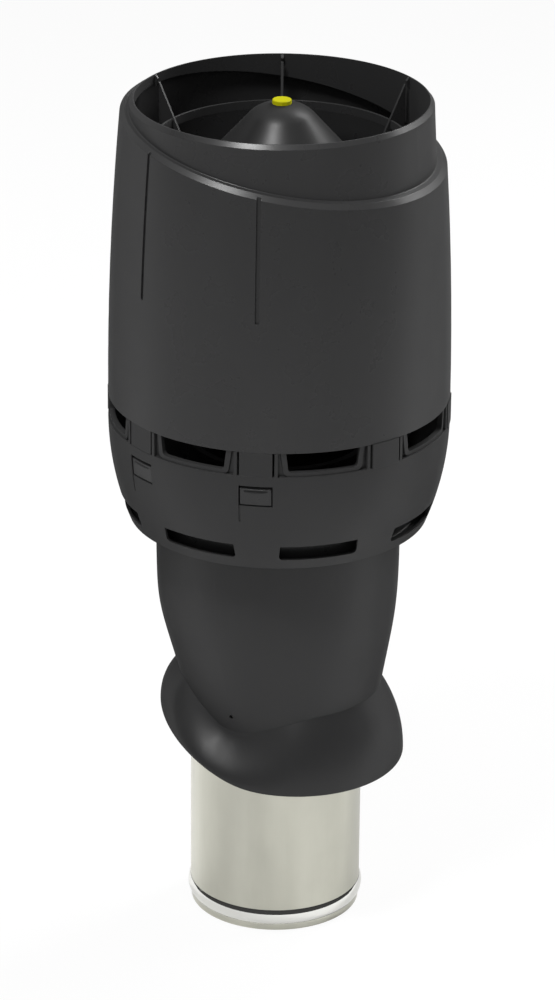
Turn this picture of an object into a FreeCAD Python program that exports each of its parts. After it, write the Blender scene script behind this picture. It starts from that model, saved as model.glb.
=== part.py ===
"""Insulated roof ventilation pipe with a tall exhaust cowl, in millimetres.

The origin is the centre of the steel duct's lower end, with +Z up. The front is -Y, where the sleeve
comes down to a corner beside its fixing hole, and the roof falls away toward +X. An azimuth is
measured from the front toward +X.
"""
import FreeCAD, Part
import math
import os

from FreeCAD import Vector

# Roof skirt, one moulding with the sleeve. Its front corner is the height that the rest stands on
rim_corner_z = 160.4
skirt_height = 45.1
rim_overhang = 1.6
rim_centre_x = 6.3
rim_corner_x = 26.0
rim_rise_downslope = -0.05
rim_rise_upslope = 0.39
rim_softness = 23.0
crease_corner_z = rim_corner_z + skirt_height
crease_flat_from = -7.0
crease_flat_to = 13.0
crease_upslope_run = 51.0
crease_downslope_run = 63.0
crease_rise_upslope = 0.70
crease_rise_downslope = 0.35
crease_softness = 6.0
skirt_bulge = 2.0
skirt_bulge_at_corner = 0.3
skirt_bulge_full_at = 0.6
fixing_hole_radius = 2.0
fixing_hole_x = 4.75
fixing_hole_above_crease = 17.0

# Outer sleeve, round above the bend and leaning toward +X below it
duct_radius = 80.0
insulation_room = 32.3
sleeve_radius = duct_radius + insulation_room
rim_radius = sleeve_radius + rim_overhang
sleeve_wall = 3.0
sleeve_bend_above_crease = 102.5
sleeve_top_above_bend = 90.0
sleeve_bend_z = crease_corner_z + sleeve_bend_above_crease
sleeve_top_z = sleeve_bend_z + sleeve_top_above_bend
sleeve_bend_softness = 24.0
sleeve_taper = 0.247
sleeve_lean_above_bend = 3.0
sleeve_lean_softness = 12.0
sleeve_lean = 0.071

# Cowl bowl
bowl_below_sleeve_top = 1.4
bowl_height = 95.4
bowl_overhang = 43.1
bowl_bottom_z = sleeve_top_z - bowl_below_sleeve_top
bowl_top_z = bowl_bottom_z + bowl_height
bowl_radius = sleeve_radius + bowl_overhang
bowl_wall = 3.0
bowl_curve_radius = 256.0
bowl_lip_width = 4.5
bowl_lip_lap = 0.5
bowl_lip_thickness = 2.4
band_step = 3.4
band_radius = bowl_radius - band_step
hood_above_bowl = 22.5
spigot_in_hood = 19.5
hood_bottom_z = bowl_top_z + hood_above_bowl
spigot_top_z = hood_bottom_z + spigot_in_hood
slot_pitch = 45.0
slot_half_angle = 13.1
slot_above_bowl = 3.9
slot_in_hood = 7.5
slot_bottom_z = bowl_top_z + slot_above_bowl
slot_top_z = hood_bottom_z + slot_in_hood
slot_side_lean = 3.2
slot_corner_radius = 4.0
slot_lip_width = 3.9
slot_lip_corner_radius = 5.5
slot_lip_proud = 2.0
rib_angle = 6.7
rib_width = 3.0
rib_proud = 3.4
post_half_angle = 5.5
post_proud = 4.2
tongue_half_angle = 5.55
tongue_proud = 3.2
tongue_slit_width = 1.2
tongue_slit_above_bowl = 0.6
catch_height = 5.0
catch_proud = 0.9
catch_face_height = 1.5
catch_side_gap = 4.0
lower_slot_half_angle = 14.7
lower_slot_above_lip = 10.0
lower_slot_height = 14.6
lower_slot_corner_radius = 4.0
lower_slot_bottom_z = bowl_bottom_z + lower_slot_above_lip
latch_angles = (22.5, 157.5, 202.5, 337.5)
post_angles = (67.5, 112.5, 247.5, 292.5)
window_half_angle = 5.6
window_below_bowl_top = 29.2
window_height = 19.8
window_bottom_z = bowl_top_z - window_below_bowl_top
window_mark_length = 16.0
window_mark_width = 1.6
window_mark_depth = 0.8
hook_gap = 1.2
hook_ramp_depth = 3.0
hook_ramp_reach = 2.0
hook_ramp_height = 4.0
hook_face_inset = 0.9
hook_pocket_side = 4.6
hook_pocket_drop = 3.4
hook_pocket_depth = 1.2
hook_pocket_height = 9.0

# Adapter between the duct, the sleeve and the cowl
fit_gap = 0.3
adapter_wall = 2.6
adapter_socket_above_bowl = 41.4
adapter_socket_height = 28.0
adapter_socket_bottom_z = bowl_bottom_z + adapter_socket_above_bowl
adapter_stop_height = 3.0
adapter_lining_wall = 2.3
adapter_lining_height = 68.0
adapter_rim_width = 6.0
adapter_rim_thickness = 2.5
adapter_seat_height = 4.0
adapter_spigot_depth = 22.0
adapter_arm_width = 22.0
adapter_arm_wall = 2.4
adapter_arm_past_window = 3.0
hook_root = 1.0
key_width = 15.0
key_depth = 6.0
key_height = 9.0
key_from_socket = 24.0

# Steel duct
duct_wall = 0.8
duct_top_z = adapter_socket_bottom_z + adapter_socket_height
duct_lip_step = 0.8
duct_lip_radius = duct_radius - duct_lip_step
duct_lip_height = 6.0
duct_bead_height = 15.0
duct_bead_proud = 2.3
duct_bead_end_proud = 0.25
duct_shoulder_height = 4.7
duct_shoulder_z = duct_lip_height + duct_bead_height + duct_shoulder_height

# Insulation and the ring that keeps the duct in the middle
spacer_above_crease = 50.5
spacer_bottom_z = crease_corner_z + spacer_above_crease
spacer_height = 10.0
spacer_gap = 0.05
insulation_below_top = 26.0
insulation_top_z = sleeve_top_z - insulation_below_top

# Cowl hood
hood_step = 0.1
hood_radius = bowl_radius - hood_step
hood_wall = 3.0
hood_height = 276.1
hood_top_z = hood_bottom_z + hood_height
hood_curve_radius = 3000.0
collar_height = 31.1
shelf_z = hood_top_z - collar_height
shelf_slope = 0.19
shelf_chamfer = 4.0
shelf_inner_chamfer = 3.0
shelf_fillet = 1.0
shelf_width = 20.1
collar_wall = 4.2
collar_depth = 80.0
collar_radius = hood_radius - shelf_width
collar_inner_radius = collar_radius - collar_wall
collar_draft = 0.055
collar_chamfer_width = 3.2
collar_chamfer_height = 4.0
groove_width = 3.6
groove_depth = 2.0
groove_length = 126.0
groove_bottom_z = shelf_z - groove_length

# Vane frame
vane_angles = (30.0, 90.0, 150.0, 210.0, 270.0, 330.0)
vane_thickness = 2.4
vane_from_collar = 4.0
vane_below_mouth = 6.3
vane_top_radius = collar_inner_radius - vane_from_collar
vane_top_z = hood_top_z - vane_below_mouth
vane_height = 62.3
vane_foot_height = 32.0
vane_foot_top_z = vane_top_z - vane_height
vane_foot_z = vane_foot_top_z - vane_foot_height
vane_rim_depth = 3.0
vane_rim_out = 1.5
vane_rim_in = 6.0
vane_rim_rise = 4.0
web_top_run = 24.0
web_top_depth = 14.0
web_foot_run = 30.0
hoop_inset = 13.0
hoop_radius = vane_top_radius - hoop_inset
hoop_wall = 2.0
hoop_height = 8.0
hub_radius = 9.0
hub_shoulder_height = 1.5
hub_nose_inset = 0.5
pad_width = 20.0
pad_thickness = 3.0
pad_from_collar = 1.0
pad_inner_radius = collar_inner_radius - pad_from_collar
boss_height = 13.0
boss_inset = 1.0
rest_rib_depth = 2.7
rest_rib_height = 10.5
rest_rib_below_mouth = 0.6

# Deflector cone, its cap and the bolt under it
cone_below_mouth = 5.1
cone_top_z = hood_top_z - cone_below_mouth
cone_flat_radius = 6.0
cone_nose_radius = 32.5
cone_slope = 48.0
cone_from_hoop = 24.0
cone_rim_radius = hoop_radius - cone_from_hoop
cone_wall = 2.2
hoop_below_cone_top = 33.0
hoop_top_z = cone_top_z - hoop_below_cone_top
hub_height = 43.5
hub_bottom_z = cone_top_z - hub_height
cap_radius = 8.75
cap_height = 3.9
cap_wall = 0.9
cap_chamfer = 0.6
cap_sides = 12
washer_radius = 6.4
washer_thickness = 0.8
bolt_radius = 3.0
bolt_hole_radius = 3.2
bolt_head_radius = 5.0
bolt_head_height = 1.9
nut_across_flats = 10.0
nut_height = 5.0
bolt_end_past_nut = 2.0

# Screws
frame_screw_radius = 1.8
frame_screw_length = 10.0
frame_screw_head_radius = 3.6
frame_screw_head_height = 2.2
frame_screw_on_pad = 8.0
frame_screw_at_radius = pad_inner_radius + frame_screw_on_pad
frame_screw_offset = 5.4
side_screw_radius = 2.0
side_screw_head_radius = 4.0
side_screw_head_height = 2.2
sleeve_screw_below_top = 8.0
sleeve_screw_z = sleeve_top_z - sleeve_screw_below_top
sleeve_screw_seat_gap = 0.1
sleeve_screw_angles = (0.0, 90.0, 180.0, 270.0)
duct_screw_below_top = 14.0
duct_screw_z = duct_top_z - duct_screw_below_top
duct_screw_angles = (0.0, 120.0, 240.0)
screw_tip_past_wall = 1.6

# How far a cutting shape runs past the wall that it cuts, and into the wall that it joins
past_wall = 20.0
into_wall = 1.0

# Samples round a moulded outline that has no simple curve
ring_samples = 72
skirt_sections = 6
sleeve_sections = 8
far = 2.5 * bowl_radius


def outline(*steps):
    """A closed face in the XZ plane. A step is a point (x, z), or (through, end) for an arc."""
    edges = []
    start = first = Vector(steps[0][0], 0, steps[0][1])
    for step in steps[1:]:
        if isinstance(step[0], tuple):
            through = Vector(step[0][0], 0, step[0][1])
            end = Vector(step[1][0], 0, step[1][1])
            edges.append(Part.Arc(start, through, end).toShape())
        else:
            end = Vector(step[0], 0, step[1])
            edges.append(Part.makeLine(start, end))
        start = end
    if start.distanceToPoint(first) > 1e-7:
        edges.append(Part.makeLine(start, first))
    return Part.Face(Part.Wire(edges))


def turned(*steps):
    """A solid of revolution about Z from an outline of (radius, z) points."""
    return outline(*steps).revolve(Vector(0, 0, 0), Vector(0, 0, 1), 360)


def tube(outer, inner, bottom, top):
    return turned((inner, bottom), (outer, bottom), (outer, top), (inner, top))


def around(shape, azimuth):
    """A copy of a shape built at the front, turned to an azimuth."""
    copy = shape.copy()
    copy.rotate(Vector(0, 0, 0), Vector(0, 0, 1), azimuth)
    return copy


def block(width, near, out, bottom, top):
    """A box at the front, centred on the azimuth, from one radius to another."""
    return Part.makeBox(width, out - near, top - bottom, Vector(-width / 2, -out, bottom))


def radial_rod(radius, near, out, z):
    return Part.makeCylinder(radius, out - near, Vector(0, -near, z), Vector(0, -1, 0))


def fused(shapes):
    shapes = list(shapes)
    return shapes[0].multiFuse(shapes[1:]).removeSplitter() if len(shapes) > 1 else shapes[0]


def plate(points, thickness):
    """A flat plate at the front, standing in the plane of the axis, from (radius, z) points."""
    wire = Part.makePolygon([Vector(-thickness / 2, -r, z) for r, z in points + points[:1]])
    return Part.Face(wire).extrude(Vector(thickness, 0, 0))


def radial_prism(corners, near, out):
    """A prism at the front whose outline is given as (x, z) corners, running outward."""
    wire = Part.makePolygon([Vector(x, -near, z) for x, z in corners + corners[:1]])
    return Part.Face(wire).extrude(Vector(0, near - out, 0))


def soften_edges(solid, radius, picks):
    """Round the edges whose middle satisfies picks."""
    edges = [e for e in solid.Edges if picks(e)]
    return solid.makeFillet(radius, edges)


# Sleeve and skirt surfaces

def soft_ramp(distance, softness):
    """Zero for negative distances and the distance itself for positive ones, with a soft bend."""
    return (distance + math.sqrt(distance ** 2 + softness ** 2)) / 2


def sleeve_centre_x(z):
    return sleeve_lean * soft_ramp(sleeve_bend_z + sleeve_lean_above_bend - z, sleeve_lean_softness)


def sleeve_radius_at(z):
    """The radius narrows below the bend, and is the full one at the top."""
    below = soft_ramp(sleeve_bend_z - z, sleeve_bend_softness)
    at_top = soft_ramp(sleeve_bend_z - sleeve_top_z, sleeve_bend_softness)
    return sleeve_radius - sleeve_taper * (below - at_top)


def sleeve_point(angle, z, inset):
    r = sleeve_radius_at(z) - inset
    return Vector(sleeve_centre_x(z) + r * math.sin(angle), -r * math.cos(angle), z)


def soft_rise(distance, run):
    """A soft ramp that levels off after a run."""
    return soft_ramp(distance, crease_softness) - soft_ramp(distance - run, crease_softness)


def crease_z(x):
    upslope = crease_rise_upslope * soft_rise(crease_flat_from - x, crease_upslope_run)
    downslope = crease_rise_downslope * soft_rise(x - crease_flat_to, crease_downslope_run)
    return crease_corner_z + upslope + downslope


def rim_z(x):
    bend = (rim_rise_upslope + rim_rise_downslope) * soft_ramp(rim_corner_x - x, rim_softness)
    return rim_corner_z - rim_rise_downslope * (rim_corner_x - x) + bend


def crease_point(angle, inset):
    """Where the sleeve meets the skirt. The height depends on the place, so it is closed in on."""
    z = crease_corner_z
    for _ in range(30):
        z = crease_z(sleeve_point(angle, z, 0).x)
    return sleeve_point(angle, z, inset)


def rim_point(angle, inset):
    r = rim_radius - inset
    height = rim_z(rim_centre_x + rim_radius * math.sin(angle))
    return Vector(rim_centre_x + r * math.sin(angle), -r * math.cos(angle), height)


def skirt_point(angle, share, inset):
    """A point on the skirt, from the crease at share 0 to the rim at share 1."""
    top, low = crease_point(angle, inset), rim_point(angle, inset)
    side = min(1, abs(math.sin(angle)) / skirt_bulge_full_at) ** 2
    start_slope = skirt_bulge_at_corner + (skirt_bulge - skirt_bulge_at_corner) * side
    out = start_slope * share * (1 - share) ** 2 + share ** 2 * (3 - 2 * share)
    return Vector(top.x + (low.x - top.x) * out, top.y + (low.y - top.y) * out, top.z + (low.z - top.z) * share)


def sleeve_section_point(angle, share, inset):
    bottom = crease_point(angle, 0).z
    return sleeve_point(angle, bottom + (sleeve_top_z - bottom) * share, inset)


def ring_wire(point_at):
    """A smooth closed wire through points at even angles."""
    points = [point_at(2 * math.pi * i / ring_samples) for i in range(ring_samples)]
    curve = Part.BSplineCurve()
    curve.interpolate(Points=points, PeriodicFlag=True, Parameters=[i / ring_samples for i in range(ring_samples + 1)])
    return Part.Wire([curve.toShape()])


def make_outer_sleeve():
    faces = []
    ends = []
    for inset in (0, sleeve_wall):
        skirt = [ring_wire(lambda a: skirt_point(a, k / skirt_sections, inset)) for k in range(skirt_sections + 1)]
        upper = [ring_wire(lambda a: sleeve_section_point(a, k / sleeve_sections, inset))
                 for k in range(sleeve_sections + 1)]
        faces += Part.makeLoft(skirt, False, False).Faces + Part.makeLoft(upper, False, False).Faces
        ends.append((skirt[-1].Edges[0], upper[-1].Edges[0]))
    for outer_edge, inner_edge in zip(*ends):
        faces += Part.makeRuledSurface(outer_edge, inner_edge).Faces
    skin = Part.Compound(faces)
    skin.sewShape(0.01)
    solid = Part.Solid(skin.Shells[0])
    if solid.Volume < 0:
        solid.reverse()
    hole_z = crease_corner_z + fixing_hole_above_crease
    reach = sleeve_radius + past_wall
    holes = Part.makeCylinder(fixing_hole_radius, 2 * reach, Vector(fixing_hole_x, -reach, hole_z), Vector(0, 1, 0))
    clearance = side_screw_radius + fit_gap
    return solid.cut(Part.Compound([holes] + [radial_rod_at(clearance, sleeve_screw_z, a) for a in sleeve_screw_angles]))


def radial_rod_at(radius, z, azimuth):
    return around(radial_rod(radius, sleeve_radius - past_wall, sleeve_radius + past_wall, z), azimuth)


def inside_sleeve(bottom, top, gap):
    """The space inside the sleeve between two heights, less a gap, as a loft of circles."""
    count = 6
    heights = [bottom + (top - bottom) * k / count for k in range(count + 1)]
    wires = []
    for z in heights:
        r = sleeve_radius_at(z) - sleeve_wall - gap
        wires.append(Part.Wire([Part.makeCircle(r, Vector(sleeve_centre_x(z), 0, z))]))
    return Part.makeLoft(wires, True, False)


def make_insulation():
    bottom = spacer_bottom_z + spacer_height
    return inside_sleeve(bottom, insulation_top_z, fit_gap).cut(duct_core(duct_radius + fit_gap))


def make_duct_spacer():
    """A ring on the duct, wedged in the sleeve where it narrows."""
    top = spacer_bottom_z + spacer_height
    return inside_sleeve(spacer_bottom_z, top, spacer_gap).cut(duct_core(duct_radius))


def duct_core(radius):
    return Part.makeCylinder(radius, duct_top_z)


def duct_side(inset):
    """The duct's wall line from the lower end to the top, as outline steps."""
    lip = duct_lip_radius - inset
    body = duct_radius - inset
    bead_middle = duct_lip_height + duct_bead_height / 2
    bead_end = duct_lip_height + duct_bead_height
    crown = duct_radius + duct_bead_proud - inset
    neck = body + duct_bead_end_proud
    return [(lip, 0), (lip, duct_lip_height), ((crown, bead_middle), (neck, bead_end)), (body, duct_shoulder_z),
            (body, duct_top_z)]


def reversed_steps(steps):
    """The same line walked the other way."""
    points = [s[1] if isinstance(s[0], tuple) else s for s in steps]
    back = [points[-1]]
    for k in range(len(steps) - 1, 0, -1):
        if isinstance(steps[k][0], tuple):
            back.append((steps[k][0], points[k - 1]))
        else:
            back.append(points[k - 1])
    return back


def make_duct():
    body = turned(*duct_side(0), *reversed_steps(duct_side(duct_wall)))
    rod = radial_rod(side_screw_radius, duct_radius - past_wall, duct_radius + past_wall, duct_screw_z)
    return body.cut(fused(around(rod, a) for a in duct_screw_angles))


# Bowl

def bowl_radius_at(z):
    drop = max(bowl_top_z - z, 0)
    return bowl_radius - (bowl_curve_radius - math.sqrt(bowl_curve_radius ** 2 - drop ** 2))


def bowl_arc(inset, low, high):
    """An arc step along the bowl's wall between two heights, moved inward."""
    middle = (low + high) / 2
    return ((bowl_radius_at(middle) - inset, middle), (bowl_radius_at(high) - inset, high))


def bowl_shell(outer_inset, inner_inset, low, high):
    """A band that follows the bowl's curve."""
    down_through = bowl_radius_at((low + high) / 2) - inner_inset
    return turned((bowl_radius_at(low) - inner_inset, low), (bowl_radius_at(low) - outer_inset, low),
                  bowl_arc(outer_inset, low, high), (bowl_radius_at(high) - inner_inset, high),
                  ((down_through, (low + high) / 2), (bowl_radius_at(low) - inner_inset, low)))


def rounded_window(half_top, half_bottom, bottom, top, corner, near, out):
    """A prism at the front with a flat top and two rounded lower corners, or four with equal halves."""
    prism = radial_prism([(-half_bottom, bottom), (half_bottom, bottom), (half_top, top), (-half_top, top)], near, out)
    return soften_edges(prism, corner, lambda e: is_radial(e) and e.CenterOfMass.z < (bottom + top) / 2)


def is_radial(edge):
    a, b = edge.Vertexes[0].Point, edge.Vertexes[-1].Point
    return abs(a.x - b.x) < 1e-6 and abs(a.z - b.z) < 1e-6


def chord(radius, degrees):
    """Half width of an opening that spans plus and minus an angle."""
    return radius * math.sin(math.radians(degrees))


def make_upper_slot():
    half = chord(band_radius, slot_half_angle)
    near, out = band_radius - past_wall, band_radius + past_wall
    return rounded_window(half, half - slot_side_lean, slot_bottom_z, slot_top_z, slot_corner_radius, near, out)


def make_slot_lip():
    """The raised U-shaped edge round an upper slot, before the slot itself is cut."""
    w = slot_lip_width
    half = chord(band_radius, slot_half_angle)
    prism = rounded_window(half + w, half - slot_side_lean + w, slot_bottom_z - w, hood_bottom_z - fit_gap,
                           slot_lip_corner_radius, band_radius - past_wall, band_radius + past_wall)
    return prism.common(tube(band_radius + slot_lip_proud, band_radius - into_wall, bowl_top_z, hood_bottom_z))


def make_band_post(half_angle, proud):
    """A post between two slots, which the hood's edge stands on."""
    half = chord(band_radius, half_angle)
    near, out = band_radius - past_wall, band_radius + past_wall
    low = bowl_top_z - into_wall
    prism = radial_prism([(-half, low), (half, low), (half, hood_bottom_z), (-half, hood_bottom_z)], near, out)
    return prism.common(tube(band_radius + proud, band_radius - into_wall, low, hood_bottom_z))


def make_rib():
    low, top = bowl_top_z - into_wall, hood_bottom_z - fit_gap
    return block(rib_width, band_radius - into_wall, band_radius + rib_proud, low, top)


def make_tongue_slits():
    """The two slits that let a tongue bend, and the catch's own clearance above them."""
    x = chord(band_radius, tongue_half_angle) + tongue_slit_width / 2
    near, out = band_radius - past_wall, band_radius + past_wall
    slit = block(tongue_slit_width, near, out, bowl_top_z + tongue_slit_above_bowl, spigot_top_z + past_wall)
    left, right = slit.copy(), slit.copy()
    left.translate(Vector(-x, 0, 0))
    right.translate(Vector(x, 0, 0))
    return left.fuse(right)


def make_catch():
    """The wedge at the top of a tongue that holds in the hood's inner groove."""
    half = chord(band_radius, tongue_half_angle) - catch_side_gap
    low = spigot_top_z - catch_height
    out = band_radius + catch_proud
    root = band_radius - into_wall
    wedge = plate([(root, low), (out, low), (out, low + catch_face_height), (root, spigot_top_z)], 2 * half)
    return wedge.common(Part.makeCylinder(out, 2 * catch_height, Vector(0, 0, low - catch_height / 2)))


def through_bowl():
    """Radii inside and outside the bowl's wall at any height."""
    return bowl_radius_at(bowl_bottom_z) - past_wall, bowl_radius + past_wall


def make_lower_slot():
    half = chord(bowl_radius_at(lower_slot_bottom_z), lower_slot_half_angle)
    top = lower_slot_bottom_z + lower_slot_height
    return rounded_window(half, half, lower_slot_bottom_z, top, lower_slot_corner_radius, *through_bowl())


def make_window(gap):
    half = chord(bowl_radius, window_half_angle) - gap
    return block(2 * half, *through_bowl(), window_bottom_z + gap, window_bottom_z + window_height - gap)


def make_window_mark():
    """A shallow groove that runs down from one corner of a window."""
    half = chord(bowl_radius, window_half_angle)
    mark = block(window_mark_width, *through_bowl(), window_bottom_z - window_mark_length, window_bottom_z)
    mark.translate(Vector(-half + window_mark_width / 2, 0, 0))
    core = bowl_shell(window_mark_depth, 2 * past_wall, bowl_bottom_z, bowl_top_z)
    return mark.cut(core)


def make_cowl_bowl():
    skin = bowl_shell(0, bowl_wall, bowl_bottom_z, bowl_top_z)
    lip_outer = bowl_radius_at(bowl_bottom_z) - bowl_wall + bowl_lip_lap
    lip = tube(lip_outer, lip_outer - bowl_lip_width, bowl_bottom_z, bowl_bottom_z + bowl_lip_thickness)
    shoulder = tube(bowl_radius, band_radius - bowl_wall, bowl_top_z - bowl_wall, bowl_top_z)
    spigot = tube(band_radius, band_radius - bowl_wall, bowl_top_z - bowl_wall, spigot_top_z)
    slot_angles = [slot_pitch * k for k in range(8)]
    shell = fused([skin, lip, shoulder, spigot])
    extras = [around(make_slot_lip(), a) for a in slot_angles]
    for a in latch_angles:
        extras.append(around(make_band_post(tongue_half_angle, tongue_proud), a))
        extras.append(around(make_catch(), a))
    extras += [around(make_band_post(post_half_angle, post_proud), a) for a in post_angles]
    extras += [around(make_rib(), a + s * rib_angle) for a in latch_angles + post_angles for s in (-1, 1)]
    body = fused([shell] + extras)
    cuts = [around(make_upper_slot(), a) for a in slot_angles]
    cuts += [around(make_lower_slot(), a) for a in slot_angles]
    for a in latch_angles:
        cuts += [around(make_tongue_slits(), a), around(make_window(0), a), around(make_window_mark(), a)]
    return body.cut(Part.Compound(cuts))


# Adapter

def make_duct_adapter():
    """The drip cone with its duct socket, its spigot in the sleeve and the four hooks for the bowl."""
    w = adapter_wall
    socket_inner = duct_radius + fit_gap
    socket_outer = socket_inner + w
    rim_bottom = bowl_bottom_z + bowl_lip_thickness
    rim_top = rim_bottom + adapter_rim_thickness
    rim_radius_here = bowl_radius_at(rim_bottom) - bowl_wall - fit_gap
    rim_start = rim_radius_here - adapter_rim_width
    run = rim_start - socket_outer
    slope = (adapter_socket_bottom_z - rim_top) / run
    stop_bottom = duct_top_z + fit_gap
    stop_top = stop_bottom + adapter_stop_height
    under = w * math.sqrt(1 + slope ** 2)
    lining_outer = duct_radius - duct_wall - fit_gap
    lining_inner = lining_outer - adapter_lining_wall
    lining_bottom = stop_bottom - adapter_lining_height
    cone = turned((socket_inner, adapter_socket_bottom_z - under), (socket_inner, stop_bottom),
                  (lining_outer, stop_bottom), (lining_outer, lining_bottom), (lining_inner, lining_bottom),
                  (lining_inner, stop_top), (socket_outer, stop_top), (socket_outer, adapter_socket_bottom_z),
                  (rim_start, rim_top), (rim_radius_here, rim_top), (rim_radius_here, rim_bottom),
                  (rim_start, rim_bottom))
    spigot_outer = sleeve_radius - sleeve_wall - fit_gap

    def cone_height(radius):
        return adapter_socket_bottom_z - under / 2 - slope * (radius - socket_outer)

    spigot_low = sleeve_top_z - adapter_spigot_depth
    spigot = turned((spigot_outer - w, spigot_low), (spigot_outer, spigot_low),
                    (spigot_outer, cone_height(spigot_outer)), (spigot_outer - w, cone_height(spigot_outer - w)))
    seat = tube(sleeve_radius, spigot_outer - into_wall, sleeve_top_z, sleeve_top_z + adapter_seat_height)
    arm_top = window_bottom_z + window_height + adapter_arm_past_window
    arm_band = bowl_shell(bowl_wall + fit_gap, bowl_wall + fit_gap + adapter_arm_wall, rim_bottom, arm_top)
    arm = arm_band.common(block(adapter_arm_width, *through_bowl(), rim_bottom, arm_top))
    key_radius = socket_outer + key_from_socket
    key = block(key_width, key_radius, key_radius + key_depth, cone_height(key_radius + key_depth),
                cone_height(key_radius) + key_height)
    pieces = [cone, spigot, seat]
    for a in latch_angles:
        pieces += [around(arm, a), around(make_hook(), a)]
    pieces += [around(key, a) for a in (0, 180)]
    body = fused(pieces)
    clearance = side_screw_radius + fit_gap
    rod = radial_rod(clearance, duct_radius - past_wall, duct_radius + past_wall, duct_screw_z)
    holes = [around(rod, a) for a in duct_screw_angles]
    holes += [radial_rod_at(side_screw_radius, sleeve_screw_z, a) for a in sleeve_screw_angles]
    return body.cut(fused(holes))


def make_hook():
    """The hook that fills a window, with a sloping ledge at its top and a pocket in its face."""
    root = bowl_wall + fit_gap + hook_root
    band = bowl_shell(hook_face_inset, root, window_bottom_z, window_bottom_z + window_height)
    hook = band.common(make_window(hook_gap))
    top = window_bottom_z + window_height - hook_gap
    face = bowl_radius_at(top) - hook_face_inset
    out = face + hook_ramp_reach
    ramp = plate([(face - hook_ramp_depth, top), (out, top), (out, top - hook_ramp_height)], 2 * adapter_arm_width)
    pocket_top = top - hook_pocket_drop
    pocket_width = 2 * (chord(bowl_radius, window_half_angle) - hook_pocket_side)
    pocket = plate([(face - hook_pocket_depth, pocket_top), (out, pocket_top), (out, pocket_top - hook_pocket_height)],
                   pocket_width)
    return hook.cut(ramp).cut(pocket)


# Hood

def hood_radius_at(z):
    rise = max(z - hood_bottom_z, 0)
    return hood_radius - (hood_curve_radius - math.sqrt(hood_curve_radius ** 2 - rise ** 2))


def barrel(inset, bottom, top):
    """A solid that follows the hood's side, moved inward."""
    middle = (bottom + top) / 2
    return turned((0, bottom), (hood_radius_at(bottom) - inset, bottom),
                  ((hood_radius_at(middle) - inset, middle), (hood_radius_at(top) - inset, top)), (0, top))


def collar(radius, bottom, top, draft_from):
    """A solid that follows the collar's side, wider toward the bottom."""
    return turned((0, bottom), (radius + collar_draft * (draft_from - bottom), bottom), (radius, top), (0, top))


def above_shelf(drop):
    """Everything above the sloping shelf, or above a plane that lies lower by a drop."""
    level = shelf_z - drop
    left, right = level + shelf_slope * far, level - shelf_slope * far
    wire = Part.makePolygon([Vector(-far, -far, left), Vector(far, -far, right), Vector(far, -far, 2 * hood_top_z),
                             Vector(-far, -far, 2 * hood_top_z), Vector(-far, -far, left)])
    return Part.Face(wire).extrude(Vector(0, 2 * far, 0))


def on_shelf(edge, drop):
    """Whether an edge lies in the shelf's plane, or in one that lies lower by a drop."""
    points = [v.Point for v in edge.Vertexes] + [edge.CenterOfMass]
    return all(abs(p.z - (shelf_z - drop - shelf_slope * p.x)) < 1e-3 for p in points)


def make_hood_outside():
    body = barrel(0, hood_bottom_z, hood_top_z + past_wall).cut(above_shelf(0))
    body = body.makeChamfer(shelf_chamfer, [e for e in body.Edges if on_shelf(e, 0)])
    chamfer_z = hood_top_z - collar_chamfer_height
    neck = collar(collar_radius, shelf_z - collar_depth, chamfer_z, chamfer_z)
    bevel = turned((0, chamfer_z), (collar_radius, chamfer_z), (collar_radius - collar_chamfer_width, hood_top_z),
                   (0, hood_top_z))
    whole = fused([body, neck, bevel])
    return soften_edges(whole, shelf_fillet, lambda e: on_shelf(e, 0) and on_collar(e))


def on_collar(edge):
    """Whether an edge's ends and middle lie on the collar's side."""
    points = [v.Point for v in edge.Vertexes] + [edge.valueAt((edge.FirstParameter + edge.LastParameter) / 2)]
    level = hood_top_z - collar_chamfer_height
    return all(abs(math.hypot(p.x, p.y) - collar_radius - collar_draft * (level - p.z)) < 1e-3 for p in points)


def make_hood_space():
    """The air space inside the hood."""
    inside = barrel(hood_wall, hood_bottom_z - into_wall, hood_top_z + past_wall).cut(above_shelf(hood_wall))
    inside = inside.makeChamfer(shelf_inner_chamfer, [e for e in inside.Edges if on_shelf(e, hood_wall)])
    neck = collar(collar_inner_radius, shelf_z - collar_depth, hood_top_z + into_wall, hood_top_z)
    return inside.fuse(neck)


def make_groove():
    """A long shallow groove with a round lower end, down from the shelf."""
    low = groove_bottom_z + groove_width / 2
    near, out = collar_inner_radius - past_wall, hood_radius + past_wall
    strip = block(groove_width, near, out, low, hood_top_z)
    end = radial_rod(groove_width / 2, near, out, low)
    core = barrel(groove_depth, hood_bottom_z, hood_top_z + past_wall)
    return strip.fuse(end).cut(core)


def make_boss():
    """A block on the hood's inner wall that a vane's foot is screwed to."""
    top = vane_foot_z
    near, out = pad_inner_radius + boss_inset, hood_radius_at(top) - boss_inset
    return block(pad_width - 2 * boss_inset, near, out, top - boss_height, top)


def make_rest_rib():
    """A small rib at the collar's mouth above each vane."""
    r = collar_inner_radius
    root, tip = r + into_wall, r - rest_rib_depth
    top = hood_top_z - rest_rib_below_mouth
    low = top - rest_rib_height
    return plate([(root, top), (r, top), (tip, top - rest_rib_depth), (tip, top - 1.4 * rest_rib_depth), (r, low),
                  (root, low)], vane_thickness)


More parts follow.
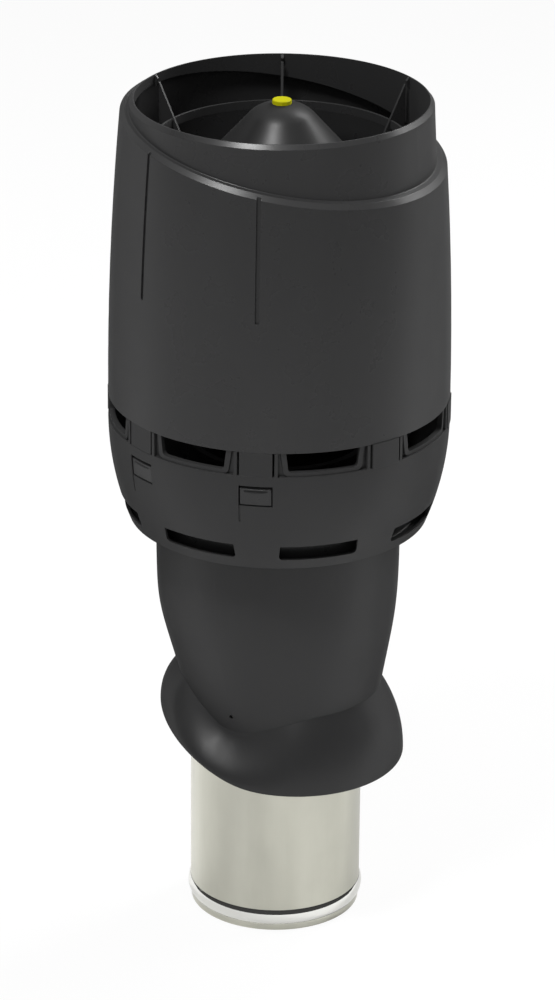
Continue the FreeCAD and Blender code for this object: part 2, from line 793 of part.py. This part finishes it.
def make_hood():
    shell = make_hood_outside().cut(make_hood_space())
    shell = shell.cut(fused(around(make_groove(), a) for a in latch_angles))
    inner_groove = tube(band_radius + catch_proud + fit_gap, band_radius - past_wall,
                        spigot_top_z - catch_height - fit_gap, spigot_top_z + fit_gap)
    shell = shell.cut(inner_groove)
    limit = barrel(hood_wall / 2, hood_bottom_z, hood_top_z)
    added = [around(make_boss(), a).common(limit) for a in vane_angles]
    added += [around(make_rest_rib(), a) for a in vane_angles]
    holes = [around(frame_screw_rod(frame_screw_radius), a) for a in vane_angles]
    return fused([shell] + added).cut(Part.Compound(holes))


# Vane frame

def cone_line_z(radius, inset):
    """Height of the cone's straight slope at a radius, moved inward by an inset square to it."""
    turn = math.radians(cone_slope)
    arc_end_radius = cone_flat_radius + cone_nose_radius * math.sin(turn)
    arc_end_z = cone_top_z - cone_nose_radius * (1 - math.cos(turn))
    return arc_end_z - math.tan(turn) * (radius - arc_end_radius) - inset / math.cos(turn)


def cone_outline(inset):
    """Outline steps of the cone's skin from the flat top to the rim, moved inward by an inset."""
    turn = math.radians(cone_slope)
    nose = cone_nose_radius - inset
    centre_z = cone_top_z - cone_nose_radius

    def nose_point(angle):
        return (cone_flat_radius + nose * math.sin(angle), centre_z + nose * math.cos(angle))

    return [nose_point(0), (nose_point(turn / 2), nose_point(turn)), (cone_rim_radius, cone_line_z(cone_rim_radius, inset))]


def make_vane():
    """One vane: a slim steep plate from the hood's mouth to the cone's rim, its foot and its inner web."""
    rim_low = cone_line_z(cone_rim_radius, cone_wall) - vane_rim_depth
    outer_end = cone_rim_radius + vane_rim_out
    inner_end = cone_rim_radius - vane_rim_in
    outer_low = cone_line_z(cone_rim_radius, 0) + vane_rim_rise
    wall_radius = hood_radius_at(vane_foot_z)
    blade = plate([(vane_top_radius, vane_top_z), (vane_top_radius, vane_foot_top_z), (wall_radius, vane_foot_top_z),
                   (wall_radius, vane_foot_z), (inner_end, vane_foot_z), (inner_end, rim_low), (outer_end, rim_low),
                   (outer_end, outer_low)], vane_thickness)
    under = cone_wall + fit_gap
    web_top = cone_flat_radius + web_top_run
    hub_root = hub_radius - into_wall
    web = plate([(inner_end, vane_foot_z), (inner_end, cone_line_z(inner_end, under)),
                 (web_top, cone_line_z(web_top, under)), (hub_root, cone_top_z - web_top_depth),
                 (hub_root, hub_bottom_z), (inner_end - web_foot_run, vane_foot_z)], vane_thickness)
    return blade.fuse(web)


def make_foot_pad():
    outer = hood_radius_at(vane_foot_z)
    return block(pad_width, pad_inner_radius, outer, vane_foot_z, vane_foot_z + pad_thickness)


def make_vane_frame():
    hub_top = cone_top_z - cone_wall
    hub = turned((bolt_hole_radius, hub_bottom_z), (hub_radius, hub_bottom_z), (hub_radius, hub_top - hub_shoulder_height),
                 (cone_flat_radius - hub_nose_inset, hub_top), (bolt_hole_radius, hub_top))
    hoop = tube(hoop_radius, hoop_radius - hoop_wall, hoop_top_z - hoop_height, hoop_top_z)
    pieces = [hub, hoop]
    for a in vane_angles:
        pieces += [around(make_vane(), a), around(make_foot_pad(), a)]
    inside = barrel(hood_wall + fit_gap, vane_foot_z - past_wall, hood_top_z)
    body = fused(pieces).common(inside)
    screw_room = [around(head_room(), a) for a in vane_angles]
    screw_room += [around(frame_screw_rod(frame_screw_radius), a) for a in vane_angles]
    core = Part.makeCylinder(bolt_hole_radius, hub_height + 2 * past_wall, Vector(0, 0, hub_bottom_z - past_wall))
    return body.cut(Part.Compound(screw_room + [core]))


def screw_place():
    return Vector(frame_screw_offset, -frame_screw_at_radius, vane_foot_z)


def frame_screw_rod(radius):
    """The shank of a foot screw, beside its vane."""
    top = vane_foot_z + pad_thickness
    return Part.makeCylinder(radius, frame_screw_length, screw_place() + Vector(0, 0, top - vane_foot_z), Vector(0, 0, -1))


def head_room():
    """Clearance beside the vane for a screw's head."""
    base = screw_place() + Vector(0, 0, pad_thickness)
    return Part.makeCylinder(frame_screw_head_radius + fit_gap, frame_screw_head_height + pad_thickness, base)


def make_frame_screws():
    top = screw_place() + Vector(0, 0, pad_thickness)
    head = Part.makeCylinder(frame_screw_head_radius, frame_screw_head_height, top)
    screw = frame_screw_rod(frame_screw_radius).fuse(head)
    return Part.Compound([around(screw, a) for a in vane_angles])


# Cone, cap and bolt

def make_deflector_cone():
    outer = cone_outline(0)
    inner = cone_outline(cone_wall)
    return turned((bolt_hole_radius, cone_top_z), *outer, *reversed_steps(inner), (bolt_hole_radius, cone_top_z - cone_wall))


def make_cone_washer():
    return tube(washer_radius, bolt_radius, cone_top_z, cone_top_z + washer_thickness)


def nut_bottom_z():
    return hub_bottom_z - nut_height


def make_cone_bolt():
    head_bottom = cone_top_z + washer_thickness
    end = nut_bottom_z() - bolt_end_past_nut
    shank = Part.makeCylinder(bolt_radius, head_bottom - end, Vector(0, 0, end))
    head = Part.makeCylinder(bolt_head_radius, bolt_head_height, Vector(0, 0, head_bottom))
    return shank.fuse(head)


def make_cone_nut():
    across_corners = nut_across_flats / math.cos(math.pi / 6)
    corners = [Vector(across_corners / 2 * math.cos(math.radians(60 * k)),
                      across_corners / 2 * math.sin(math.radians(60 * k)), nut_bottom_z()) for k in range(7)]
    body = Part.Face(Part.makePolygon(corners)).extrude(Vector(0, 0, nut_height))
    return body.cut(Part.makeCylinder(bolt_radius, nut_height, Vector(0, 0, nut_bottom_z())))


def make_cone_cap():
    """A small hollow cap with flat sides over the bolt's head."""
    corners = [Vector(cap_radius * math.cos(2 * math.pi * k / cap_sides), cap_radius * math.sin(2 * math.pi * k / cap_sides),
                      cone_top_z) for k in range(cap_sides + 1)]
    body = Part.Face(Part.makePolygon(corners)).extrude(Vector(0, 0, cap_height))
    body = body.makeChamfer(cap_chamfer, [e for e in body.Edges if e.CenterOfMass.z > cone_top_z + cap_height - 1e-6])
    return body.cut(Part.makeCylinder(washer_radius, cap_height - cap_wall, Vector(0, 0, cone_top_z)))


# Side screws

def make_side_screw(seat_radius, tip_radius, z):
    shank = radial_rod(side_screw_radius, tip_radius, seat_radius, z)
    head = radial_rod(side_screw_head_radius, seat_radius, seat_radius + side_screw_head_height, z)
    return shank.fuse(head)


def make_sleeve_screws():
    tip = sleeve_radius - sleeve_wall - fit_gap - adapter_wall - screw_tip_past_wall
    screw = make_side_screw(sleeve_radius_at(sleeve_screw_z) + sleeve_screw_seat_gap, tip, sleeve_screw_z)
    return Part.Compound([around(screw, a) for a in sleeve_screw_angles])


def make_duct_screws():
    seat = duct_radius + fit_gap + adapter_wall
    screw = make_side_screw(seat, duct_radius - duct_wall - screw_tip_past_wall, duct_screw_z)
    return Part.Compound([around(screw, a) for a in duct_screw_angles])


parts = {
    "steel_duct": make_duct,
    "outer_sleeve": make_outer_sleeve,
    "insulation": make_insulation,
    "duct_spacer": make_duct_spacer,
    "duct_adapter": make_duct_adapter,
    "duct_screws": make_duct_screws,
    "sleeve_screws": make_sleeve_screws,
    "cowl_bowl": make_cowl_bowl,
    "cowl_hood": make_hood,
    "vane_frame": make_vane_frame,
    "frame_screws": make_frame_screws,
    "deflector_cone": make_deflector_cone,
    "cone_bolt": make_cone_bolt,
    "cone_washer": make_cone_washer,
    "cone_nut": make_cone_nut,
    "cone_cap": make_cone_cap,
}

os.makedirs("parts", exist_ok=True)
for name, make in parts.items():
    shape = make()
    shape.exportStep("parts/" + name + ".step")
    print(name, len(shape.Solids), "solid", shape.isValid(), "volume", round(shape.Volume), "box", shape.BoundBox)
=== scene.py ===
"""Looks for the insulated roof ventilation pipe: materials, camera, floor and studio light, in metres."""
import math

import bpy
from mathutils import Matrix, Vector


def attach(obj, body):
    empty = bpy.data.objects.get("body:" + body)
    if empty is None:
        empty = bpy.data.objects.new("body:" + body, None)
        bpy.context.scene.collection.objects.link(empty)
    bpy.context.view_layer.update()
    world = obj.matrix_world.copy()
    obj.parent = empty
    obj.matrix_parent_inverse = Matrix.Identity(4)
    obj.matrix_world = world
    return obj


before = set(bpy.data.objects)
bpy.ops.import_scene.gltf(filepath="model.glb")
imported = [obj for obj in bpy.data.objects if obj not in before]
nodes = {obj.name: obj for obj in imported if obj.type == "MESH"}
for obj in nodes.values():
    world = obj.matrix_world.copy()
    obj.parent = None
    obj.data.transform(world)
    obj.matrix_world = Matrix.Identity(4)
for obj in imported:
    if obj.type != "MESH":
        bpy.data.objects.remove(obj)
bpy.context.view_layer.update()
scene = bpy.context.scene


# Material helpers

def new_material(name):
    material = bpy.data.materials.new(name)
    material.use_nodes = True
    tree = material.node_tree
    shader = tree.nodes["Principled BSDF"]
    return material, tree, shader


def add_node(tree, kind, **settings):
    node = tree.nodes.new(kind)
    for key, value in settings.items():
        if key in node.inputs:
            node.inputs[key].default_value = value
        else:
            setattr(node, key, value)
    return node


def object_position(tree):
    return add_node(tree, "ShaderNodeTexCoord").outputs["Object"]


def stretched(tree, position, scale):
    """Object coordinates multiplied by a scale along each axis."""
    mapping = add_node(tree, "ShaderNodeMapping")
    mapping.inputs["Scale"].default_value = scale
    tree.links.new(position, mapping.inputs["Vector"])
    return mapping.outputs["Vector"]


def noise(tree, vector, scale, detail=3.0, roughness=0.5):
    texture = add_node(tree, "ShaderNodeTexNoise")
    texture.inputs["Scale"].default_value = scale
    texture.inputs["Detail"].default_value = detail
    texture.inputs["Roughness"].default_value = roughness
    tree.links.new(vector, texture.inputs["Vector"])
    return texture.outputs["Fac"]


def mapped(tree, value, low, high, from_low=0.3, from_high=0.7):
    """A value taken from one range to another."""
    node = add_node(tree, "ShaderNodeMapRange")
    node.inputs["From Min"].default_value = from_low
    node.inputs["From Max"].default_value = from_high
    node.inputs["To Min"].default_value = low
    node.inputs["To Max"].default_value = high
    tree.links.new(value, node.inputs["Value"])
    return node.outputs["Result"]


def colour_mix(tree, factor, a, b, blend="MIX"):
    """Between two colours, each a socket or three numbers, by a factor that is a socket or a number."""
    node = tree.nodes.new("ShaderNodeMix")
    node.data_type = "RGBA"
    node.blend_type = blend
    if isinstance(factor, float):
        node.inputs["Factor"].default_value = factor
    else:
        tree.links.new(factor, node.inputs["Factor"])
    for name, value in (("A", a), ("B", b)):
        if isinstance(value, tuple):
            node.inputs[name].default_value = (*value, 1)
        else:
            tree.links.new(value, node.inputs[name])
    return node.outputs["Result"]


def calculated(tree, operation, a, b):
    """A sum, a product or the like of two values, each a socket or a number."""
    node = add_node(tree, "ShaderNodeMath", operation=operation)
    for index, value in enumerate((a, b)):
        if isinstance(value, float):
            node.inputs[index].default_value = value
        else:
            tree.links.new(value, node.inputs[index])
    return node.outputs[0]


def add_bump(tree, shader, height, strength, distance, edge_radius=0.0):
    """A bump from a height, over edges softened by a small radius."""
    bump = tree.nodes.new("ShaderNodeBump")
    bump.inputs["Strength"].default_value = strength
    bump.inputs["Distance"].default_value = distance
    tree.links.new(height, bump.inputs["Height"])
    if edge_radius:
        soft = tree.nodes.new("ShaderNodeBevel")
        soft.samples = 4
        soft.inputs["Radius"].default_value = edge_radius
        tree.links.new(soft.outputs["Normal"], bump.inputs["Normal"])
    tree.links.new(bump.outputs["Normal"], shader.inputs["Normal"])


# How much rougher plastic grows at a slant, and the two slants between which it does
slant_extra = 0.6
slant_start = 0.3
slant_end = 0.75


def duller_when_slanting(tree, gloss):
    """A satin surface mirrors less at a slant than a polished one, so its roughness grows there."""
    layer = tree.nodes.new("ShaderNodeLayerWeight")
    layer.inputs["Blend"].default_value = 0.5
    extra = mapped(tree, layer.outputs["Facing"], 0.0, slant_extra, slant_start, slant_end)
    return calculated(tree, "ADD", gloss, extra)


def make_plastic(name, dark, light, rough_low, rough_high, specular, edge_radius=0.0006):
    """Moulded plastic with a fine satin grain, faint flow marks and slight changes in gloss."""
    material, tree, shader = new_material(name)
    position = object_position(tree)
    cloud = noise(tree, stretched(tree, position, (1, 1, 0.35)), 14, 4)
    grain = noise(tree, position, 2600, 2)
    tint = colour_mix(tree, mapped(tree, cloud, 0, 1), dark, light)
    tree.links.new(tint, shader.inputs["Base Color"])
    gloss = mapped(tree, noise(tree, position, 38, 4), rough_low, rough_high)
    tree.links.new(duller_when_slanting(tree, gloss), shader.inputs["Roughness"])
    shader.inputs["IOR"].default_value = 1.49
    shader.inputs["Specular IOR Level"].default_value = specular
    add_bump(tree, shader, grain, 0.05, 0.0001, edge_radius)
    return material


def float_mix(tree, factor, a, b):
    """Between two values, each a socket or a number."""
    node = tree.nodes.new("ShaderNodeMix")
    node.data_type = "FLOAT"
    tree.links.new(factor, node.inputs["Factor"])
    for name, value in (("A", a), ("B", b)):
        if isinstance(value, (int, float)):
            node.inputs[name].default_value = value
        else:
            tree.links.new(value, node.inputs[name])
    return node.outputs["Result"]


def make_duct_steel():
    """Galvanised sheet with a fine vertical grain, a slow random drift of tone, and painted shade that
    darkens it towards +X.

    The rolled bead is polished, and a dark line of painted shade lies in the crease at its upper end.
    """
    material, tree, shader = new_material("duct_steel")
    position = object_position(tree)
    place = add_node(tree, "ShaderNodeSeparateXYZ")
    tree.links.new(position, place.inputs["Vector"])
    height = place.outputs["Z"]
    rolled = mapped(tree, height, 1, 0, bead_top - shade_and_polish_reach, bead_top + polish_run_out)
    above_lip = mapped(tree, height, 0, 1, bead_low - shade_and_polish_reach, bead_low + shade_and_polish_reach)
    polished = calculated(tree, "MULTIPLY", rolled, above_lip)
    distance = add_node(tree, "ShaderNodeMath", operation="ABSOLUTE")
    tree.links.new(calculated(tree, "SUBTRACT", height, bead_top), distance.inputs[0])
    # Painted shade: a dark line in the crease at the bead's upper end, which also sinks as a groove in the
    # bump
    crease_shade = mapped(tree, distance.outputs[0], 1, 0, crease_shade_core, shade_and_polish_reach)
    streaks = noise(tree, stretched(tree, position, (1, 1, 0.02)), 900, 3)
    patches = noise(tree, stretched(tree, position, (1, 1, 0.6)), 30, 4)
    fine = colour_mix(tree, mapped(tree, patches, 0, 1), *steel_tones)
    bands = noise(tree, stretched(tree, position, (1, 1, 0.03)), 26, 1)
    # Painted shade: the sheet's colour darkens from -X towards +X
    painted_side_shade = mapped(tree, place.outputs["X"], 0.65, 0, -0.06, 0.05)
    drift_and_painted_shade = calculated(tree, "ADD", mapped(tree, bands, 0, 0.35, 0.38, 0.62), painted_side_shade)
    broad = colour_mix(tree, drift_and_painted_shade, *steel_drift_and_painted_shade)
    toned = colour_mix(tree, 1.0, fine, broad, "MULTIPLY")
    sheet = colour_mix(tree, polished, toned, bead_tone)
    tree.links.new(colour_mix(tree, crease_shade, sheet, crease_shade_tone), shader.inputs["Base Color"])
    gloss = float_mix(tree, rolled, mapped(tree, streaks, 0.28, 0.38), bead_gloss)
    tree.links.new(gloss, shader.inputs["Roughness"])
    shader.inputs["Metallic"].default_value = 1.0
    relief = float_mix(tree, crease_shade, streaks, -3.0)
    add_bump(tree, shader, relief, 0.06, 0.0001)
    return material


def make_screw_steel():
    material, tree, shader = new_material("screw_steel")
    position = object_position(tree)
    tint = colour_mix(tree, noise(tree, position, 400), (0.52, 0.52, 0.5), (0.66, 0.66, 0.64))
    tree.links.new(tint, shader.inputs["Base Color"])
    tree.links.new(mapped(tree, noise(tree, position, 900), 0.25, 0.4), shader.inputs["Roughness"])
    shader.inputs["Metallic"].default_value = 1.0
    add_bump(tree, shader, noise(tree, position, 2500), 0.08, 0.0001)
    return material


def make_foam():
    """Pale foam with small closed cells."""
    material, tree, shader = new_material("insulation_foam")
    position = object_position(tree)
    cells = add_node(tree, "ShaderNodeTexVoronoi")
    cells.inputs["Scale"].default_value = 330
    tree.links.new(position, cells.inputs["Vector"])
    depth = mapped(tree, cells.outputs["Distance"], 0, 1, 0, 0.8)
    tint = colour_mix(tree, depth, (0.78, 0.77, 0.73), (0.62, 0.61, 0.57))
    tree.links.new(tint, shader.inputs["Base Color"])
    shader.inputs["Roughness"].default_value = 0.9
    add_bump(tree, shader, cells.outputs["Distance"], 0.4, 0.0008)
    return material


# Heights of the rolled bead's two ends on the duct
bead_low = 0.006
bead_top = 0.021

# How far the painted shade in the crease above the bead reaches from its middle (the polished band's ends
# soften over the same reach), how far that shade is fully dark, and how far above the bead the polish runs
# out
shade_and_polish_reach = 0.0006
crease_shade_core = 0.0002
polish_run_out = 0.0004

# The steel sheet's two tones, the drift that multiplies them (random bands plus painted shade towards +X),
# and the bead's own tone and that of the painted crease shade
steel_tones = ((0.53, 0.525, 0.46), (0.57, 0.565, 0.495))
steel_drift_and_painted_shade = ((0.84, 0.84, 0.83), (1.06, 1.06, 1.06))
bead_tone = (0.74, 0.74, 0.71)
bead_gloss = 0.06
crease_shade_tone = (0.2, 0.2, 0.18)

# The darker and the lighter tone of each plastic
black_tones = ((0.0225, 0.0225, 0.0229), (0.0252, 0.0252, 0.0256))
# The cone's tones are the black plastic's made about three times darker: painted shade for the cone inside
# the hood's collar
cone_shaded_tones = ((0.007, 0.007, 0.0072), (0.009, 0.009, 0.0092))
yellow_tones = ((0.37, 0.357, 0.002), (0.4, 0.386, 0.002))

# The bowl and the sleeve are a little duller than the hood
black = make_plastic("black_plastic", *black_tones, 0.265, 0.295, specular=0.3)
lower_black = make_plastic("lower_plastic", *black_tones, 0.39, 0.43, specular=0.25)
# The cone is the black plastic darkened by its painted shade
cone_shaded_black = make_plastic("cone_plastic_painted_shade", *cone_shaded_tones, 0.36, 0.4, specular=0.3)
yellow = make_plastic("yellow_plastic", *yellow_tones, 0.5, 0.58, specular=0.1, edge_radius=0.0004)
duct_steel = make_duct_steel()
screw_steel = make_screw_steel()
foam = make_foam()

finishes = {
    "steel_duct": duct_steel,
    "outer_sleeve": lower_black,
    "insulation": foam,
    "duct_spacer": black,
    "duct_adapter": black,
    "duct_screws": screw_steel,
    "sleeve_screws": screw_steel,
    "cowl_bowl": lower_black,
    "cowl_hood": black,
    "vane_frame": black,
    "frame_screws": screw_steel,
    "deflector_cone": cone_shaded_black,
    "cone_bolt": screw_steel,
    "cone_washer": screw_steel,
    "cone_nut": screw_steel,
    "cone_cap": yellow,
}
for name, material in finishes.items():
    obj = nodes[name]
    obj.data.materials.clear()
    obj.data.materials.append(material)


# A guard ring that stands on the adapter inside the bowl, and closes the view from slot to slot

guard_radius = 0.1275
guard_wall = 0.0024
guard_low = 0.4016
guard_top = 0.44
guard_edge = 0.0006
guard_steps = 192


def make_ring(name, profile, steps):
    """A piece turned about the duct's axis from a closed profile of radii and heights."""
    points = []
    for k in range(steps):
        a = 2 * math.pi * k / steps
        points += [(r * math.cos(a), r * math.sin(a), z) for r, z in profile]
    count = len(profile)
    faces = []
    for k in range(steps):
        for i in range(count):
            j = (i + 1) % count
            here, there = k * count, (k + 1) % steps * count
            faces.append((here + i, there + i, there + j, here + j))
    mesh = bpy.data.meshes.new(name)
    mesh.from_pydata(points, [], faces)
    mesh.validate()
    piece = bpy.data.objects.new(name, mesh)
    scene.collection.objects.link(piece)
    return piece


guard_inner = guard_radius - guard_wall
guard_profile = [
    (guard_inner, guard_low),
    (guard_radius, guard_low),
    (guard_radius, guard_top - guard_edge),
    (guard_radius - guard_edge, guard_top),
    (guard_inner + guard_edge, guard_top),
    (guard_inner, guard_top - guard_edge),
]
guard = make_ring("adapter_guard", guard_profile, guard_steps)
guard.data.materials.append(black)
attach(guard, "root")


# Camera, at the photograph's angle

camera_azimuth = 30.0
camera_elevation = 23.12
camera_roll = 0.53
camera_distance = 3.944
camera_lens = 154.7
camera_aim = Vector((-0.00062, -0.00036, 0.4045))


def add_camera():
    data = bpy.data.cameras.new("camera")
    data.lens = camera_lens
    data.sensor_width = 36
    camera = bpy.data.objects.new("camera", data)
    scene.collection.objects.link(camera)
    a = math.radians(camera_azimuth)
    e = math.radians(camera_elevation)
    back = Vector((math.sin(a) * math.cos(e), -math.cos(a) * math.cos(e), math.sin(e)))
    right = Vector((math.cos(a), math.sin(a), 0))
    up = back.cross(right)
    roll = math.radians(camera_roll)
    tilted_right = right * math.cos(roll) + up * math.sin(roll)
    tilted_up = up * math.cos(roll) - right * math.sin(roll)
    place = camera_aim + back * camera_distance
    turn = Matrix((tilted_right, tilted_up, back)).transposed().to_4x4()
    camera.matrix_world = Matrix.Translation(place) @ turn
    scene.camera = camera


add_camera()


# Floor, lamps and surroundings

def mirrored_share(tree, path):
    """1 for the glossy and transmission rays, in which metal and glass show what surrounds them."""
    return calculated(tree, "MAXIMUM", path.outputs["Is Glossy Ray"], path.outputs["Is Transmission Ray"])


def seen_share(tree, by_camera, in_reflection):
    """A share for camera rays, and another for the rays in which metal and glass show the background."""
    path = tree.nodes.new("ShaderNodeLightPath")
    weaker = calculated(tree, "MULTIPLY", mirrored_share(tree, path), in_reflection)
    straight = calculated(tree, "MULTIPLY", path.outputs["Is Camera Ray"], by_camera)
    return calculated(tree, "MAXIMUM", straight, weaker)


# The lamps' distance from the part, and the point that they look at
lamp_distance = 2.6
lamp_aim = Vector((0, 0, 0.42))

# The floor's half width, and the shares of plain white in it for the eye and in reflections
floor_half = 30.0
floor_white_seen = 0.9
floor_white_mirrored = 0.15

# The studio's plain light, and its dimmer walls between two sines of elevation
studio_soft_light = 0.4
studio_wall_light = 0.06
studio_wall_low = 0.58
studio_wall_top = 0.86


def add_floor():
    mesh = bpy.data.meshes.new("floor")
    corners = [(floor_half * x, floor_half * y, 0) for x, y in ((-1, -1), (1, -1), (1, 1), (-1, 1))]
    mesh.from_pydata(corners, [], [(0, 1, 2, 3)])
    floor = bpy.data.objects.new("floor", mesh)
    scene.collection.objects.link(floor)
    material, tree, shader = new_material("floor_paint")
    position = object_position(tree)
    tint = colour_mix(tree, noise(tree, position, 3), (0.9, 0.9, 0.9), (0.92, 0.92, 0.92))
    tree.links.new(tint, shader.inputs["Base Color"])
    shader.inputs["Roughness"].default_value = 0.9
    shader.inputs["Specular IOR Level"].default_value = 0.0
    glow = add_node(tree, "ShaderNodeEmission")
    glow.inputs["Color"].default_value = (1, 1, 1, 1)
    glow.inputs["Strength"].default_value = 1.0
    mix = tree.nodes.new("ShaderNodeMixShader")
    tree.links.new(seen_share(tree, floor_white_seen, floor_white_mirrored), mix.inputs["Fac"])
    tree.links.new(shader.outputs["BSDF"], mix.inputs[1])
    tree.links.new(glow.outputs["Emission"], mix.inputs[2])
    output = tree.nodes["Material Output"]
    tree.links.new(mix.outputs["Shader"], output.inputs["Surface"])
    mesh.materials.append(material)


def add_world():
    """White for the eye. In reflections the studio is dimmer just above the horizon, where its walls are."""
    world = bpy.data.worlds.new("surroundings")
    world.use_nodes = True
    tree = world.node_tree
    background = tree.nodes["Background"]
    direction = add_node(tree, "ShaderNodeTexCoord").outputs["Generated"]
    axes = add_node(tree, "ShaderNodeSeparateXYZ")
    tree.links.new(direction, axes.inputs["Vector"])
    above_wall = mapped(tree, axes.outputs["Z"], studio_wall_light, 1.0, studio_wall_low, studio_wall_top)
    path = tree.nodes.new("ShaderNodeLightPath")
    reflected = float_mix(tree, mirrored_share(tree, path), studio_soft_light, above_wall)
    strength = float_mix(tree, path.outputs["Is Camera Ray"], reflected, 1.0)
    tree.links.new(strength, background.inputs["Strength"])
    background.inputs["Color"].default_value = (1, 1, 1, 1)
    scene.world = world


def add_lamp(name, azimuth, elevation, width, height, power):
    """A soft box that looks at the part's middle, placed by its azimuth from the front and elevation."""
    data = bpy.data.lights.new(name, "AREA")
    data.shape = "RECTANGLE"
    data.size = width
    data.size_y = height
    data.energy = power
    lamp = bpy.data.objects.new(name, data)
    scene.collection.objects.link(lamp)
    a = math.radians(azimuth)
    e = math.radians(elevation)
    direction = Vector((math.sin(a) * math.cos(e), -math.cos(a) * math.cos(e), math.sin(e)))
    lamp.location = lamp_aim + lamp_distance * direction
    lamp.rotation_euler = (lamp_aim - lamp.location).to_track_quat("-Z", "Y").to_euler()


add_floor()
add_world()
add_lamp("key", -3, 62, 0.6, 0.6, 46)
add_lamp("side", 143, 28, 0.9, 0.9, 23)
add_lamp("fill", -100, 20, 2.4, 2.0, 7)
add_lamp("back", 172, 40, 0.5, 1.2, 36)

scene.view_settings.view_transform = "Standard"
